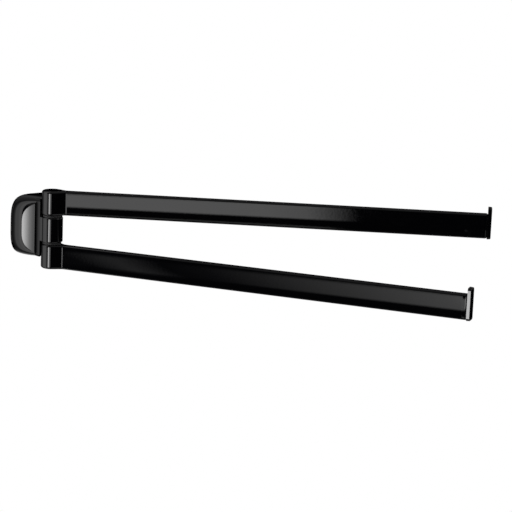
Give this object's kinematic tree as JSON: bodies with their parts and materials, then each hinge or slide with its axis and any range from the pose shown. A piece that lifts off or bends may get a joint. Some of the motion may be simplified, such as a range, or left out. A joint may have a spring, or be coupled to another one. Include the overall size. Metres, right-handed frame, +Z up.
{
  "type": "swivel towel rack",
  "caption": "Wall-mounted swivel towel rack: gloss black rosette with an upright hinge pin and long flat arms that swing sideways towards the wall.",
  "frame": {"origin": "middle of the flat back of the wall bracket, on the wall face, level with the middle of the hinge", "axes": "+Z up; the wall is the plane Y = 0 and the room is on the -Y side, so +Y points into the wall; +X is to the right for a person who faces the wall. At rest both arms are swung towards +X."},
  "size_m": [0.3478, 0.3852, 0.0823],
  "materials": {
    "black_gloss": "high gloss black enamel over cast or drawn metal",
    "plated_steel": "zinc-plated pressed steel",
    "stainless": "turned stainless steel",
    "black_acetal": "satin black acetal",
    "bush_acetal": "natural acetal"
  },
  "bodies": {
    "wall_mount": {"wall_bracket": "plated_steel", "rosette": "black_gloss", "rosette_lock_screw": "stainless", "pivot_pin": "stainless", "upper_thrust_washer": "black_acetal", "upper_friction_spring": "stainless", "upper_keeper_washer": "stainless", "upper_keeper_screw": "stainless", "lower_thrust_washer": "black_acetal", "lower_friction_spring": "stainless", "lower_keeper_washer": "stainless", "lower_keeper_screw": "stainless"},
    "upper_arm": {"upper_hinge_barrel": "black_gloss", "upper_inner_bush": "bush_acetal", "upper_outer_bush": "bush_acetal", "upper_barrel_cover": "black_gloss", "upper_bar": "black_gloss", "upper_barrel_grub_screw": "stainless", "upper_end_cap": "black_gloss", "upper_cap_grub_screw": "stainless"},
    "lower_arm": {"lower_hinge_barrel": "black_gloss", "lower_inner_bush": "bush_acetal", "lower_outer_bush": "bush_acetal", "lower_barrel_cover": "black_gloss", "lower_bar": "black_gloss", "lower_barrel_grub_screw": "stainless", "lower_end_cap": "black_gloss", "lower_cap_grub_screw": "stainless"}
  },
  "joints": [
    {"name": "upper_arm_swivel", "type": "hinge", "parent": "wall_mount", "child": "upper_arm", "pos_m": [0, -0.033, 0.026], "axis": [0, 0, 1], "range_deg": [-132.5, 33.5]},
    {"name": "lower_arm_swivel", "type": "hinge", "parent": "wall_mount", "child": "lower_arm", "pos_m": [0, -0.033, -0.026], "axis": [0, 0, 1], "range_deg": [-116.2, 49.8]}
  ]
}
